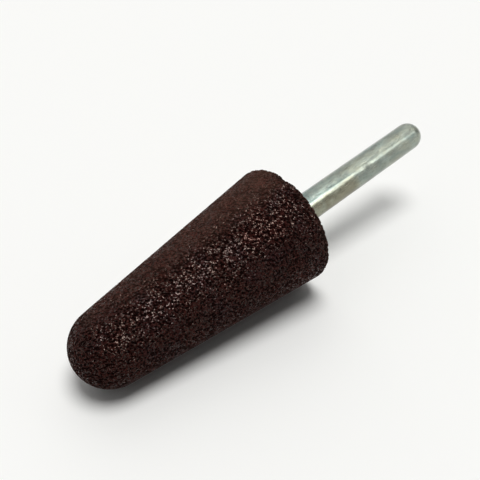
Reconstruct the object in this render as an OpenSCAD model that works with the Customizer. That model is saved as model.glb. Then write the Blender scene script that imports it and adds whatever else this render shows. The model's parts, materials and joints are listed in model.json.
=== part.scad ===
// Mounted point: a ball-nosed taper of bonded abrasive grain on a plated steel shank.
// It lies on its side, as it comes to rest, with the lowest line of the taper on Z = 0.
// The nose points along -X, and the free end of the shank points along +X and a little up.

/* [Abrasive head] */
// Diameter at the sharp corner where the taper would meet the back face
head_d = 25; // [18:0.5:40]
// Length from the nose to the back face
head_l = 50; // [42:1:80]
// Radius of the ball nose
nose_r = 7.4; // [5.5:0.1:8.5]
// Radius of the rounded rim between the taper and the back face
rim_r = 1.4; // [0.6:0.1:2.5]

/* [Chip in the rim] */
// Length of the chip along the rim
chip_l = 3.6; // [2:0.1:6]
// Depth of the chip at its middle
chip_depth = 0.5; // [0.2:0.05:1]
// Place of the chip round the rim, in degrees from the top towards the front
chip_turn = 3; // [-150:1:150]

/* [Shank] */
// Diameter of the shank
shank_d = 6; // [4:0.5:8]
// Length of the shank that stands out of the head
shank_l = 40; // [20:1:60]

/* [Set end of the shank] */
// Length of the end that is set in the head
set_l = 22; // [16:1:24]
// Height of the shoulder where the set end begins, level with the back face
shoulder = 0.3; // [0.2:0.05:0.5]
// Chamfer on the set end
set_chamfer = 0.5; // [0.2:0.1:0.8]
// Number of ring grooves that key the shank in its cement
groove_n = 4; // [2:1:5]
// Radius of the half-round grooves
groove_r = 0.5; // [0.3:0.05:0.7]
// Distance from each end of the set end to the middle of its nearest groove
groove_margin = 3; // [2:0.5:4]

/* [Cement] */
// Thickness of the cement ring between the shank and the mouth of the socket
cement_t = 0.4; // [0.2:0.05:0.6]
// Thickness of the cement below the set end
cement_floor = 1; // [0.5:0.1:1.5]

/* [Hidden] */
$fn = 96;

// Half angle of the taper, which is tangent to the ball nose and runs to the corner at the back face
head_r = head_d / 2;
corner_reach = norm([head_r, head_l - nose_r]);
taper = acos(nose_r / corner_reach) - atan2(head_l - nose_r, head_r);

// Centre of the rounded rim, which is tangent to the taper and to the back face
rim_centre = [head_r - rim_r * (1 + sin(taper)) / cos(taper), head_l - rim_r];

// The chip is the scoop that a ball leaves where it cuts the middle of the rounded rim
chip_ball_r = (pow(chip_l / 2, 2) + pow(chip_depth, 2)) / (2 * chip_depth);
chip_slant = (90 - taper) / 2;

// Shank, socket and grooves
shank_r = shank_d / 2;
shank_end = head_l + shank_l;
set_r = shank_r - shoulder;
set_start = head_l - set_l;
groove_pitch = (set_l - 2 * groove_margin) / (groove_n - 1);
socket_r = shank_r + cement_t;
socket_floor = set_start - cement_floor;

// Place of the ball nose's centre, with the whole length centred on X = 0
tip_reach = (shank_end - shank_r - nose_r) * cos(taper);
nose_x = (nose_r - tip_reach - shank_r) / 2;

// The straight taper lies this much inside the two arcs it joins, so that it crosses each of them once
taper_inset = 0.001;

// Point of a circle in the section, at an angle from the radius outwards
function on_circle(centre, r, angle) = centre + r * [cos(angle), sin(angle)];

// Lays a piece modelled along the tool's own axis, with the nose at Z = 0, on its side
module lay_down() {
    translate([nose_x, 0, nose_r])
        rotate([0, 90 - taper, 0])
            translate([0, 0, -nose_r])
                children();
}

// Half section of the head: nose arc, straight taper, rim arc and flat back face
module head_section() {
    nose_centre = [0, nose_r];
    intersection() {
        translate(nose_centre)
            circle(nose_r);
        square([nose_r, 2 * nose_r]);
    }
    polygon([
        nose_centre,
        on_circle(nose_centre, nose_r - taper_inset, -taper),
        on_circle(rim_centre, rim_r - taper_inset, -taper),
        on_circle(rim_centre, rim_r, 90),
        [0, head_l]
    ]);
    translate(rim_centre)
        circle(rim_r);
}

// Half section of the blind socket moulded in the head
module socket_section() {
    translate([0, socket_floor])
        square([socket_r, head_l - socket_floor]);
}

// Half section of the shank: grooved set end, shoulder, plain shank and domed free end
module shank_section() {
    difference() {
        polygon([
            [0, set_start],
            [set_r - set_chamfer, set_start],
            [set_r, set_start + set_chamfer],
            [set_r, head_l],
            [0, head_l]
        ]);
        for (i = [0:groove_n - 1])
            translate([set_r, set_start + groove_margin + i * groove_pitch])
                circle(groove_r);
    }
    translate([0, head_l])
        square([shank_r, shank_l - shank_r]);
    intersection() {
        translate([0, shank_end - shank_r])
            circle(shank_r);
        translate([0, shank_end - shank_r])
            square(shank_r);
    }
}

module rim_chip() {
    ball_centre = on_circle(rim_centre, rim_r - chip_depth + chip_ball_r, chip_slant);
    rotate(180 + chip_turn)
        translate([ball_centre[0], 0, ball_centre[1]])
            sphere(chip_ball_r);
}

module abrasive_head() {
    color("#3a2724")
        lay_down()
            difference() {
                rotate_extrude()
                    difference() {
                        head_section();
                        socket_section();
                    }
                rim_chip();
            }
}

module setting_cement() {
    color("#8d8478")
        lay_down()
            rotate_extrude()
                difference() {
                    socket_section();
                    shank_section();
                }
}

module steel_shank() {
    color("#b4b8b0")
        lay_down()
            rotate_extrude()
                shank_section();
}

abrasive_head();
setting_cement();
steel_shank();
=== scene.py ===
import json
import math

import bmesh
import bpy
from mathutils import Matrix, Vector, noise


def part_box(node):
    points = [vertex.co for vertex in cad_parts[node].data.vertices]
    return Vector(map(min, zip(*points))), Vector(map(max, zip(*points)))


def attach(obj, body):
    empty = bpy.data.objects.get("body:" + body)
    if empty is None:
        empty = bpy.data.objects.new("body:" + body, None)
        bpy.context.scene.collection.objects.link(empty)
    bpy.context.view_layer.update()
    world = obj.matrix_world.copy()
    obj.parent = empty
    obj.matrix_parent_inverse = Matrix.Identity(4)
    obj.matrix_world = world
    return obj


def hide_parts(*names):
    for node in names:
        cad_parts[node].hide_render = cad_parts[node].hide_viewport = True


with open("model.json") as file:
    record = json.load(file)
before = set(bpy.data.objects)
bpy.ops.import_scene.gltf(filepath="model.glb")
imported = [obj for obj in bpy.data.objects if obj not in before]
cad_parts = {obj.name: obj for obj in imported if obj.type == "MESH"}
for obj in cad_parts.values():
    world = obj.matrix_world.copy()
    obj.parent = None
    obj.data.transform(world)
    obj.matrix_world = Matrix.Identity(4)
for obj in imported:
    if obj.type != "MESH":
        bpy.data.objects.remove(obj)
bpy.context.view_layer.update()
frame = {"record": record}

# Abrasive head
# Dark brown fused grains in a glassy bond, moulded in one piece with its blind socket and fired.
# A ball nose runs into a straight taper, a rounded rim and a flat back face. One chip is out of the rim.
MM = 0.001
head_r = 12.5 * MM
head_l = 50.0 * MM
nose_r = 7.4 * MM
rim_r = 1.4 * MM
socket_r = 3.4 * MM
socket_floor = 27.0 * MM

taper = math.acos(nose_r / math.hypot(head_r, head_l - nose_r)) - math.atan2(head_l - nose_r, head_r)
rim_centre = Vector((head_r - rim_r * (1 + math.sin(taper)) / math.cos(taper), 0, head_l - rim_r))
nose_centre = Vector((0, 0, nose_r))
taper_normal = Vector((math.cos(taper), 0, -math.sin(taper)))
right_angle = math.radians(90)

# The pieces are drawn along the tool's own axis, with the nose at zero, and then laid on their side.
# Before that, the top is along -X and the front along -Y.
head_low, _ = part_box("abrasive_head")
tool_axis = Vector(frame["record"]["mounts"][0]["axis"]).normalized()
upright_to_lying = Vector((0, 0, 1)).rotation_difference(tool_axis).to_matrix().to_4x4()
lay_down = (
    Matrix.Translation((head_low.x + nose_r, 0, nose_r))
    @ upright_to_lying
    @ Matrix.Translation(-nose_centre)
)
merge_distance = 0.0005 * MM


def draw_arc(section, start, centre, angle, steps):
    """Turns a point of a half section about a centre, outwards along it, and returns its end."""
    turned = bmesh.ops.spin(
        section, geom=[start], cent=centre, axis=(0, -1, 0), angle=angle, steps=steps, use_merge=False
    )
    return next(v for v in turned["geom_last"] if isinstance(v, bmesh.types.BMVert))


def draw_line(section, start, end, steps=1):
    """Draws a straight stretch of a half section in equal steps and returns its end."""
    drawn = bmesh.ops.spin(
        section, geom=[start], axis=(0, -1, 0), dvec=(Vector(end) - start.co) / steps, steps=steps
    )
    return next(v for v in drawn["geom_last"] if isinstance(v, bmesh.types.BMVert))


def turn_section(section, steps):
    """Turns a half section once round the tool's axis into a closed skin that faces outwards."""
    bmesh.ops.spin(
        section,
        geom=section.verts[:] + section.edges[:],
        cent=(0, 0, 0),
        axis=(0, 0, 1),
        angle=math.tau,
        steps=steps,
        use_merge=True,
    )
    bmesh.ops.remove_doubles(section, verts=section.verts, dist=merge_distance)
    bmesh.ops.recalc_face_normals(section, faces=section.faces)


def finish_piece(name, body, material, smooth):
    """Lays a piece down in the row frame, gives it its material and lets it ride on the tool."""
    body.transform(lay_down)
    mesh = bpy.data.meshes.new(name)
    body.to_mesh(mesh)
    body.free()
    mesh.materials.append(material)
    piece = bpy.data.objects.new(name, mesh)
    bpy.context.scene.collection.objects.link(piece)
    if smooth:
        mesh.shade_smooth()
    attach(piece, "root")
    return piece


head = bmesh.new()
point = head.verts.new((0, 0, 0))
point = draw_arc(head, point, nose_centre, right_angle - taper, steps=44)
point = draw_line(head, point, rim_centre + rim_r * taper_normal, steps=212)
point = draw_arc(head, point, rim_centre, right_angle + taper, steps=10)
point = draw_line(head, point, (socket_r, 0, head_l), steps=26)
point = draw_line(head, point, (socket_r, 0, socket_floor), steps=2)
point = draw_line(head, point, (0, 0, socket_floor))
turn_section(head, steps=330)

# The chip is the hollow that a ball leaves where it cuts the middle of the rounded rim
chip_turn = math.radians(3)
chip_length = 3.6 * MM
chip_depth = 0.5 * MM
chip_ball_r = (chip_length**2 / 4 + chip_depth**2) / (2 * chip_depth)
chip_slant = (right_angle - taper) / 2
chip_reach = rim_r - chip_depth + chip_ball_r
chip_out = rim_centre.x + chip_reach * math.cos(chip_slant)
chip_centre = Vector((
    -chip_out * math.cos(chip_turn),
    -chip_out * math.sin(chip_turn),
    rim_centre.z + chip_reach * math.sin(chip_slant),
))
for v in head.verts:
    from_chip = v.co - chip_centre
    if from_chip.length < chip_ball_r:
        v.co = chip_centre + from_chip.normalized() * chip_ball_r

# Round pores lie a little more than a grain apart. They are wider where the bond is more open, and wider
# and deeper where the rim has crumbled. Between them each grain is a cell that lies at its own depth.
pore_pitch = 0.46 * MM
pore_reach = 0.54
pore_shake = 0.14
pore_shake_fineness = 1.7
pore_depth = 0.15 * MM
open_size = 2.0 * MM
open_widening = 0.15
rim_break = 0.24 * MM
rim_reach = 0.20
grain_size = 0.35 * MM
grain_depth = 0.02 * MM
grain_spread = 53.0
shake = 0.04 * MM
shake_fineness = 2.3
shake_seed = 1
socket_clearance = 1.02

# Painted light: the side that is turned up and a little to the back is painted paler, most of all at the
# big end, and so is the crumbled rim, as if the light fell brighter there
painted_light_side = upright_to_lying.inverted() @ Vector((0, 0.35, 0.94))
painted_light_edge = 0.78
painted_light_fade = 0.20
nose_painted_light = 0.25
rim_painted_light = 0.35
painted_light_level = 0.8
painted_light_patchiness = 0.4
painted_light_patch = 6 * grain_size


def clamp(value):
    """Holds a value between zero and one."""
    return min(max(value, 0.0), 1.0)


noise.seed_set(shake_seed)
head.normal_update()
pore_layer = head.verts.layers.float.new("pore")
painted_light_layer = head.verts.layers.float.new("painted_light")
moves = []
for v in head.verts:
    in_socket = v.co.xy.length < socket_r * socket_clearance and v.co.z > socket_floor / 2
    spot = v.co / grain_size
    grain = 0.5 + 0.5 * noise.cell(noise.voronoi(spot)[1][0] * grain_spread)
    at_rim = max(0.0, 1.0 - abs(v.co.z - head_l + rim_r / 2) / rim_r) * (v.co.xy.length > rim_centre.x)
    to_pore = noise.voronoi(v.co / pore_pitch)[0][0] + pore_shake * noise.noise(spot * pore_shake_fineness)
    to_pore /= pore_reach * (1 + open_widening * noise.noise(v.co / open_size)) + rim_reach * at_rim
    pit = clamp(1.0 - to_pore)
    depth = grain_depth * grain + (pore_depth + rim_break * at_rim) * pit * (2.0 - pit)
    v[pore_layer] = to_pore
    # Painted light: how much paler tone each point gets, by how far it turns up and back, and on the rim
    turned_up = clamp((v.normal.dot(painted_light_side) - painted_light_edge) / painted_light_fade)
    painted_light = turned_up * (nose_painted_light + (1 - nose_painted_light) * (v.co.z / head_l) ** 2)
    painted_light = max(painted_light, rim_painted_light * at_rim)
    v[painted_light_layer] = painted_light * (painted_light_level + painted_light_patchiness * noise.noise(v.co / painted_light_patch))
    if not in_socket:
        sideways = noise.noise_vector(spot * shake_fineness)
        sideways -= v.normal * sideways.dot(v.normal)
        moves.append((v, shake * sideways - depth * v.normal))
for v, move in moves:
    v.co += move


# These functions add nodes to the material that was started last, and further down to the tent's cloth
def start_material(name):
    """Starts a material and returns it with its nodes, its links and its main shader."""
    material = bpy.data.materials.new(name)
    material.use_nodes = True
    tree = material.node_tree
    return material, tree.nodes, tree.links, tree.nodes["Principled BSDF"]


def feed(socket, value):
    """Links another node's output to a socket, or sets the socket to a plain value."""
    if isinstance(value, bpy.types.NodeSocket):
        links.new(value, socket)
    else:
        socket.default_value = value


def read_layer(name):
    """Reads a value that the mesh holds at each of its points."""
    layer = nodes.new("ShaderNodeAttribute")
    layer.attribute_name = name
    return layer.outputs["Fac"]


def combine_values(operation, first, second):
    """Makes one value of two."""
    combined = nodes.new("ShaderNodeMath")
    combined.operation = operation
    feed(combined.inputs[0], first)
    feed(combined.inputs[1], second)
    return combined.outputs["Value"]


def combine_vectors(operation, first, second):
    """Makes one vector or colour of two, their dot product, or the first one scaled by a value."""
    combined = nodes.new("ShaderNodeVectorMath")
    combined.operation = operation
    feed(combined.inputs[0], first)
    feed(combined.inputs["Scale" if operation == "SCALE" else 1], second)
    return combined.outputs["Value" if operation == "DOT_PRODUCT" else "Vector"]


def remap(value, start, end, low=0.0, high=1.0, interpolation="LINEAR"):
    """Turns a value that runs from low to high into one that runs from start to end."""
    turned = nodes.new("ShaderNodeMapRange")
    turned.interpolation_type = interpolation
    turned.inputs["From Min"].default_value = low
    turned.inputs["From Max"].default_value = high
    turned.inputs["To Min"].default_value = start
    turned.inputs["To Max"].default_value = end
    links.new(value, turned.inputs["Value"])
    return turned.outputs["Result"]


def colour_by(value, stops):
    """Gives each value its colour from a row of stops, which are pairs of a value and a colour."""
    coloured = nodes.new("ShaderNodeValToRGB")
    elements = coloured.color_ramp.elements
    for end_stop, (position, colour) in zip(elements, (stops[0], stops[-1])):
        end_stop.position = position
        end_stop.color = (*colour, 1)
    for position, colour in stops[1:-1]:
        stop = elements.new(position)
        stop.color = (*colour, 1)
    links.new(value, coloured.inputs["Fac"])
    return coloured.outputs["Color"]


def blend_colours(kind, amount, first, second):
    """Blends an amount of a second colour into a first one."""
    blended = nodes.new("ShaderNodeMix")
    blended.data_type = "RGBA"
    blended.blend_type = kind
    feed(blended.inputs["Factor"], amount)
    feed(blended.inputs["A"], first)
    feed(blended.inputs["B"], second)
    return blended.outputs["Result"]


def cloud_pattern(place, scale, detail, roughness=0.5):
    """Gives a cloudy pattern, whose scale is the number of clouds to a metre."""
    clouds = nodes.new("ShaderNodeTexNoise")
    clouds.inputs["Scale"].default_value = scale
    clouds.inputs["Detail"].default_value = detail
    clouds.inputs["Roughness"].default_value = roughness
    links.new(place, clouds.inputs["Vector"])
    return clouds.outputs["Fac"]


def raise_surface(height, distance, strength=1.0, under=None):
    """Raises the surface by a pattern of heights, on top of another relief if there is one."""
    relief = nodes.new("ShaderNodeBump")
    relief.inputs["Strength"].default_value = strength
    relief.inputs["Distance"].default_value = distance
    links.new(height, relief.inputs["Height"])
    if under:
        links.new(under, relief.inputs["Normal"])
    return relief.outputs["Normal"]


# Only the glassy faces shine. The rest has a faint warm sheen from fine grinding dust.
abrasive, nodes, links, shader = start_material("bonded abrasive")
shader.inputs["Specular IOR Level"].default_value = 0
shader.inputs["Sheen Weight"].default_value = 0.09
shader.inputs["Sheen Tint"].default_value = (1.0, 0.75, 0.70, 1)
shader.inputs["Sheen Roughness"].default_value = 0.4
on_piece = nodes.new("ShaderNodeTexCoord").outputs["Object"]
pore_tone = read_layer("pore")
painted_light_tone = read_layer("painted_light")

# Each cell is one face of a grain, with a tone of its own, and about one face in four is glassy
face_size = 0.17 * MM
glassy_share = 0.28
tone_step = 0.005
deep_brown = (0.015, 0.0034, 0.0029)
mid_brown = (0.043, 0.0134, 0.0116)
light_brown = (0.079, 0.0310, 0.0262)
glassy_brown = (0.038, 0.0285, 0.0255)
plain_roughness = 0.5
glassy_roughness = 0.27
grain_faces = nodes.new("ShaderNodeTexVoronoi")
grain_faces.inputs["Scale"].default_value = 1 / face_size
links.new(on_piece, grain_faces.inputs["Vector"])
chance = nodes.new("ShaderNodeTexWhiteNoise")
links.new(grain_faces.outputs["Position"], chance.inputs["Vector"])
face_colours = colour_by(chance.outputs["Value"], (
    (0.0, deep_brown),
    (0.4, mid_brown),
    (1.0 - tone_step - glassy_share, light_brown),
    (1.0 - glassy_share, glassy_brown),
    (1.0, glassy_brown),
))
glassy = combine_values("GREATER_THAN", chance.outputs["Value"], 1 - glassy_share)
links.new(remap(glassy, plain_roughness, glassy_roughness), shader.inputs["Roughness"])

# Each face leans its own way
face_slope = 0.4
from_middle = combine_vectors("SUBTRACT", on_piece, grain_faces.outputs["Position"])
lean = combine_vectors("SUBTRACT", grain_faces.outputs["Color"], (0.5, 0.5, 0.5))
face_height = combine_vectors("DOT_PRODUCT", from_middle, lean)
links.new(raise_surface(face_height, face_slope), shader.inputs["Normal"])

# Broad patches of reddish, earthy and violet brown
reddish = (1.05, 0.80, 0.75)
earthy = (1.0, 1.0, 0.95)
violet = (0.95, 0.95, 1.05)
patches = cloud_pattern(on_piece, scale=220, detail=3)
patch_colours = colour_by(patches, ((0.3, reddish), (0.5, earthy), (0.7, violet)))
tinted = blend_colours("MULTIPLY", 1, face_colours, patch_colours)

# Painted shade: the pores and the gaps between the faces are darkened in the colour
pore_painted_shade = (0.13, 0.045, 0.038)
gap_painted_shade = 0.3
pore_shade_colours = colour_by(pore_tone, ((0.65, pore_painted_shade), (1.0, (1, 1, 1))))
pore_shaded = blend_colours("MULTIPLY", 1, tinted, pore_shade_colours)
gap_shade = remap(grain_faces.outputs["Distance"], 1.0, gap_painted_shade, low=0.45, high=0.75)
toned = combine_vectors("SCALE", pore_shaded, gap_shade)

# Painted light makes the faces paler and partly covers them with a pale brown
painted_light_colour = (0.090, 0.0500, 0.0350, 1)
painted_light_paling = 2.1
painted_light_cover = 0.5
painted_paler = combine_vectors("SCALE", toned, remap(painted_light_tone, 1.0, painted_light_paling))
painted_light_mixed = blend_colours("MIX", remap(painted_light_tone, 0.0, painted_light_cover), painted_paler, painted_light_colour)
links.new(painted_light_mixed, shader.inputs["Base Color"])

# No glassy face shows in a pore, and hardly any where the paler painted light lies
pore_edge = 0.9
glint_left_under_painted_light = 0.1
out_of_pore = combine_values("GREATER_THAN", pore_tone, pore_edge)
shining = combine_values("MULTIPLY", glassy, out_of_pore)
outside_painted_light = remap(painted_light_tone, 1.0, glint_left_under_painted_light, high=0.8)
links.new(combine_values("MULTIPLY", shining, outside_painted_light), shader.inputs["Metallic"])

abrasive_head = finish_piece("abrasive_head_grains", head, abrasive, smooth=False)
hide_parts("abrasive_head")

# Steel shank
# Drawn mild steel rod with a domed free end, plated with zinc that has dulled to a greenish grey.
# Its set end is turned down, grooved and cemented into the head as far as the shoulder.
shank_r = 3.0 * MM
shank_l = 40.0 * MM
set_r = 2.7 * MM
set_l = 22.0 * MM
set_chamfer = 0.5 * MM
groove_r = 0.5 * MM
groove_margin = 3.0 * MM
groove_n = 4
set_start = head_l - set_l
groove_pitch = (set_l - 2 * groove_margin) / (groove_n - 1)
dome_z = head_l + shank_l - shank_r
rod_steps = 160


def draw_set_end(section):
    """Draws the shank's set end from its middle, over its chamfer and grooves, up to the shoulder."""
    point = section.verts.new((0, 0, set_start))
    point = draw_line(section, point, (set_r - set_chamfer, 0, set_start))
    point = draw_line(section, point, (set_r, 0, set_start + set_chamfer))
    for i in range(groove_n):
        groove_z = set_start + groove_margin + i * groove_pitch
        point = draw_line(section, point, (set_r, 0, groove_z - groove_r))
        point = draw_arc(section, point, (set_r, 0, groove_z), -math.pi, steps=8)
    return draw_line(section, point, (set_r, 0, head_l))


shank = bmesh.new()
point = draw_set_end(shank)
point = draw_line(shank, point, (shank_r, 0, head_l))
point = draw_line(shank, point, (shank_r, 0, dome_z), steps=150)
point = draw_arc(shank, point, (0, 0, dome_z), right_angle, steps=24)
turn_section(shank, rod_steps)


def on_rod(turn, reach):
    """Gives the spot on the rod at an angle from its top to the front and a distance from the head."""
    return Vector((-shank_r * math.cos(turn), -shank_r * math.sin(turn), head_l + reach))


def round_mark(spot, middle, across, along):
    """Gives one in the middle of an oval mark on the rod and falls to zero at its edge."""
    away = spot - middle
    return max(0.0, 1.0 - (away.xy.length / across) ** 2 - (away.z / along) ** 2)


# The drawn rod isn't quite true. Half way along it, a dark scuff and a short scratch lie on the upper
# front side.
wave_start = head_l + shank_r / 2
wave_size = 1.5 * MM
wave_stretch = 3
wave_depth = 0.018 * MM
scuff_middle = on_rod(math.radians(39), 21.5 * MM)
scuff_across = 0.9 * MM
scuff_along = 1.5 * MM
scuff_patch = 0.4 * MM
scratch_middle = on_rod(math.radians(23), 20.8 * MM)
scratch_across = 0.4 * MM
scratch_along = 2.2 * MM
scratch_depth = 0.045 * MM

# An olive stain runs along the lower front side near the head. Elsewhere the zinc is cleanest there.
stain_turn = math.radians(100)
stain_side = Vector((-math.cos(stain_turn), -math.sin(stain_turn), 0))
stain_edge = 0.35
stain_fade = 0.4
stain_middle = head_l + 10.5 * MM
stain_reach = 8.0 * MM
stain_patch = 1.3 * MM
stain_level = 0.8
stain_patchiness = 0.6
stain_strength = 0.75
clean_reach = 14.0 * MM
clean_strength = 0.2

shank.normal_update()
stain_layer = shank.verts.layers.float.new("stain")
scuff_layer = shank.verts.layers.float.new("scuff")
moves = []
for v in shank.verts:
    if v.co.z > wave_start:
        wave = noise.noise(Vector((v.co.x, v.co.y, v.co.z / wave_stretch)) / wave_size)
        scratch = round_mark(v.co, scratch_middle, scratch_across, scratch_along) ** 2
        moves.append((v, -(wave_depth * (1 + wave) + scratch_depth * scratch) * v.normal))
    scuff = round_mark(v.co, scuff_middle, scuff_across, scuff_along)
    v[scuff_layer] = scuff * (1 + noise.noise(v.co / scuff_patch))
    to_front = clamp((v.normal.dot(stain_side) - stain_edge) / stain_fade)
    near_stain = max(0.0, 1.0 - (abs(v.co.z - stain_middle) / stain_reach) ** 4)
    stained = to_front * near_stain * (stain_level + stain_patchiness * noise.noise(v.co / stain_patch))
    clean = max(0.0, 1.0 - abs(v.co.z - head_l) / clean_reach)
    v[stain_layer] = stain_strength * stained - clean_strength * clean
for v, move in moves:
    v.co += move

zinc, nodes, links, shader = start_material("dulled zinc plate")
shader.inputs["Metallic"].default_value = 1
on_piece = nodes.new("ShaderNodeTexCoord").outputs["Object"]


def along_rod(stretch):
    """Gives places on the rod for a pattern that is stretched along it."""
    turned = nodes.new("ShaderNodeMapping")
    turned.inputs["Rotation"].default_value = (0, math.asin(tool_axis.z), 0)
    turned.inputs["Scale"].default_value = (1 / stretch, 1, 1)
    links.new(on_piece, turned.inputs["Vector"])
    return turned.outputs["Vector"]


# The zinc has gone from blue green, where it is clean, to olive, where it is stained
blue_green = (0.240, 0.303, 0.278)
grey_green = (0.300, 0.330, 0.284)
yellow_grey = (0.296, 0.310, 0.246)
olive = (0.242, 0.234, 0.172)
cloud_share = 0.9
along_clouds = along_rod(stretch=2.5)
clouds = cloud_pattern(along_clouds, scale=520, detail=6, roughness=0.65)
stain_tone = combine_values("ADD", combine_values("MULTIPLY", clouds, cloud_share), read_layer("stain"))
stain_colours = colour_by(
    stain_tone, ((0.25, blue_green), (0.45, grey_green), (0.62, yellow_grey), (1.0, olive))
)

# The plate is mottled, small dark specks have eaten into it, and the scuff has darkened it
mottle_range = (0.80, 1.10)
speck_shade = 0.6
scuff_shade = 0.55
mottle = cloud_pattern(along_clouds, scale=900, detail=4)
mottled = remap(mottle, *mottle_range, low=0.35, high=0.65)
specks = cloud_pattern(on_piece, scale=2600, detail=2)
specked = combine_values("MULTIPLY", mottled, remap(specks, 1.0, speck_shade, low=0.58, high=0.72))
scuffed = combine_values("MULTIPLY", specked, remap(read_layer("scuff"), 1.0, scuff_shade))
links.new(blend_colours("MULTIPLY", 1, stain_colours, scuffed), shader.inputs["Base Color"])

# Dull and brighter spots, a ripple in the plate and faint lines along the rod from the drawing die
bright_roughness = 0.15
dull_roughness = 0.28
ripple_height = 0.03 * MM
line_height = 0.01 * MM
dulled = remap(clouds, bright_roughness, dull_roughness, low=0.3, high=0.7)
links.new(dulled, shader.inputs["Roughness"])
ripple = raise_surface(clouds, ripple_height)
die_lines = cloud_pattern(along_rod(stretch=25), scale=5000, detail=2)
links.new(raise_surface(die_lines, line_height, strength=0.5, under=ripple), shader.inputs["Normal"])

steel_shank = finish_piece("steel_shank_plated", shank, zinc, smooth=True)
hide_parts("steel_shank")

# Setting cement
# A thin filling of pale cement that was poured round the shank's set end and has hardened.
# It shows only as a narrow uneven bead round the shank at the mouth of the socket.
bead_height = 0.12 * MM
bead_shake = 0.05 * MM
bead_patch = 4 * bead_height
shank_clearance = 1.01
filling = bmesh.new()
point = draw_set_end(filling)
point = draw_line(filling, point, (shank_r, 0, head_l))
point = draw_line(filling, point, (shank_r, 0, head_l + bead_height))
point = draw_line(filling, point, (socket_r, 0, head_l - bead_height), steps=5)
point = draw_line(filling, point, (socket_r, 0, socket_floor))
point = draw_line(filling, point, (0, 0, socket_floor))
turn_section(filling, rod_steps)
for v in filling.verts:
    if v.co.z > head_l - 2 * bead_height and v.co.xy.length > shank_r * shank_clearance:
        v.co.z += bead_shake * noise.noise(v.co / bead_patch)

cement, nodes, links, shader = start_material("setting cement")
shader.inputs["Roughness"].default_value = 0.9
shader.inputs["Specular IOR Level"].default_value = 0.2
on_piece = nodes.new("ShaderNodeTexCoord").outputs["Object"]
dark_cement = (0.150, 0.120, 0.095)
pale_cement = (0.300, 0.265, 0.220)
speck_height = 0.05 * MM
specks = cloud_pattern(on_piece, scale=2500, detail=4)
links.new(colour_by(specks, ((0.3, dark_cement), (0.7, pale_cement))), shader.inputs["Base Color"])
links.new(raise_surface(specks, speck_height), shader.inputs["Normal"])

setting_cement = finish_piece("setting_cement_bead", filling, cement, smooth=False)
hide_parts("setting_cement")

# Floor
# A plain pale table top with a matt finish, which takes the tool's soft shadow.
# It belongs to the scene and not to the tool.
floor_size = 4.0
floor_colour = (0.945, 0.945, 0.925, 1)
table = bmesh.new()
bmesh.ops.create_grid(table, x_segments=1, y_segments=1, size=floor_size / 2)
floor_mesh = bpy.data.meshes.new("floor")
table.to_mesh(floor_mesh)
table.free()
floor_paint, nodes, links, shader = start_material("pale table top")
shader.inputs["Base Color"].default_value = floor_colour
shader.inputs["Roughness"].default_value = 1
shader.inputs["Specular IOR Level"].default_value = 0
floor_mesh.materials.append(floor_paint)
floor = bpy.data.objects.new("floor", floor_mesh)
bpy.context.scene.collection.objects.link(floor)

# Studio light
# One broad soft light almost straight above the tool, in a tent of pale cloth that is open at the camera.
# The camera and the shiny faces see the pale cloth itself, with two bright windows high in its front.
to_lamp = Vector((0.085, -0.055, 1.0))
soft_light = bpy.data.lights.new("soft light", "SUN")
soft_light.angle = math.radians(31)
soft_light.energy = 2.06
soft_lamp = bpy.data.objects.new("soft light", soft_light)
soft_lamp.location = to_lamp
soft_lamp.rotation_mode = "QUATERNION"
soft_lamp.rotation_quaternion = to_lamp.to_track_quat("Z", "Y")
bpy.context.scene.collection.objects.link(soft_lamp)

tent = bpy.data.worlds.new("pale tent")
tent.use_nodes = True
bpy.context.scene.world = tent
nodes, links = tent.node_tree.nodes, tent.node_tree.links
direction = nodes.new("ShaderNodeTexCoord").outputs["Generated"]
height = nodes.new("ShaderNodeSeparateXYZ")
links.new(direction, height.inputs["Vector"])


def shade_cloth(tones):
    """Gives the tent's cloth a grey for each height, from the floor to the top."""
    return colour_by(height.outputs["Z"], [(place_up, (grey, grey, grey)) for place_up, grey in tones])


def round_patch(middle, edge, core, outside, inside):
    """Gives a value that changes from outside to inside a round patch of the tent, sized in degrees."""
    nearness = combine_vectors("DOT_PRODUCT", direction, middle)
    edge_nearness = math.cos(math.radians(edge))
    core_nearness = math.cos(math.radians(core))
    return remap(nearness, outside, inside, edge_nearness, core_nearness, "SMOOTHSTEP")


def dim_patch(cloth, middle, edge, core, left):
    """Dims a round patch of the cloth, and leaves a share of its light in the middle."""
    return combine_vectors("SCALE", cloth, round_patch(middle, edge, core, 1, left))


def light_patch(cloth, middle, edge, core, grey):
    """Adds light to a round patch of the cloth."""
    return blend_colours("ADD", round_patch(middle, edge, core, 0, 1), cloth, (grey, grey, grey, 1))


# The cloth as it lights the tool
tent_opening = Vector((-0.148, -0.554, 0.819))
lit_wall = Vector((0.42, 0.74, 0.53)).normalized()
lit_cloth = shade_cloth(((0.04, 0.75), (0.10, 0.33), (0.28, 0.24), (0.60, 0.42), (1.0, 0.66)))
lit_cloth = dim_patch(lit_cloth, tent_opening, edge=50, core=34, left=0.05)
lit_cloth = light_patch(lit_cloth, lit_wall, edge=39, core=21, grey=0.5)
cloth_light = nodes["Background"]
links.new(lit_cloth, cloth_light.inputs["Color"])

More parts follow.
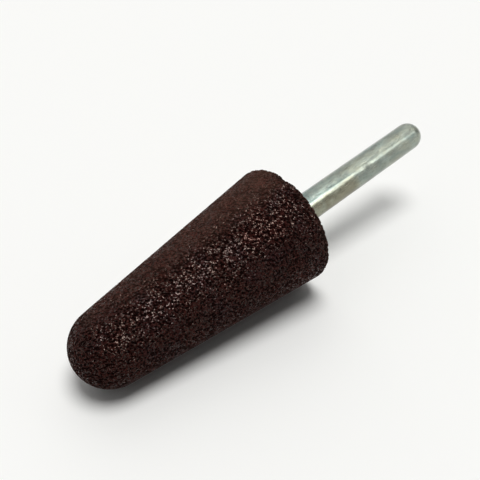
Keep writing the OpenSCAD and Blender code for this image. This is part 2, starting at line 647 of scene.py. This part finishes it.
# The cloth as the camera and the shiny faces see it
dark_side = Vector((0.90, -0.10, 0.45)).normalized()
right_cloth = Vector((0.72, 0.12, 0.68)).normalized()
right_window = Vector((0.42, -0.545, 0.726)).normalized()
left_window = Vector((0.0, -0.45, 0.89)).normalized()
seen_cloth = shade_cloth(((0.04, 0.97), (0.20, 0.80), (0.50, 0.98), (1.0, 0.96)))
seen_cloth = dim_patch(seen_cloth, tent_opening, edge=50, core=34, left=0.15)
seen_cloth = dim_patch(seen_cloth, dark_side, edge=31, core=10, left=0.5)
seen_cloth = light_patch(seen_cloth, right_cloth, edge=34, core=8, grey=0.3)
seen_cloth = light_patch(seen_cloth, right_window, edge=15, core=6, grey=2.7)
seen_cloth = light_patch(seen_cloth, left_window, edge=26, core=6, grey=19.0)
cloth_seen = nodes.new("ShaderNodeBackground")
links.new(seen_cloth, cloth_seen.inputs["Color"])
rays = nodes.new("ShaderNodeLightPath").outputs
seen = combine_values("MAXIMUM", rays["Is Camera Ray"], rays["Is Glossy Ray"])
seen_through = combine_values("MAXIMUM", seen, rays["Is Transmission Ray"])
tent_mix = nodes.new("ShaderNodeMixShader")
links.new(seen_through, tent_mix.inputs["Fac"])
links.new(cloth_light.outputs["Background"], tent_mix.inputs[1])
links.new(cloth_seen.outputs["Background"], tent_mix.inputs[2])
links.new(tent_mix.outputs["Shader"], nodes["World Output"].inputs["Surface"])

# Camera
# It looks down on the tool from the nose's side, as the photograph does.
view_azimuth = math.radians(-41.55)
view_elevation = math.radians(40.26)
aim = Vector((4.14, 12.92, 0)) * MM
distance = 159.35 * MM
focal_pixels = 728
picture_pixels = 480
back = Vector((
    math.sin(view_azimuth) * math.cos(view_elevation),
    -math.cos(view_azimuth) * math.cos(view_elevation),
    math.sin(view_elevation),
))
camera_data = bpy.data.cameras.new("camera")
camera_data.sensor_width = 36
camera_data.lens = focal_pixels / picture_pixels * camera_data.sensor_width
camera_data.clip_start = 0.01
camera = bpy.data.objects.new("camera", camera_data)
camera.location = aim + distance * back
camera.rotation_mode = "QUATERNION"
camera.rotation_quaternion = (-back).to_track_quat("-Z", "Y")
bpy.context.scene.collection.objects.link(camera)
bpy.context.scene.camera = camera
bpy.context.scene.view_settings.view_transform = "Standard"
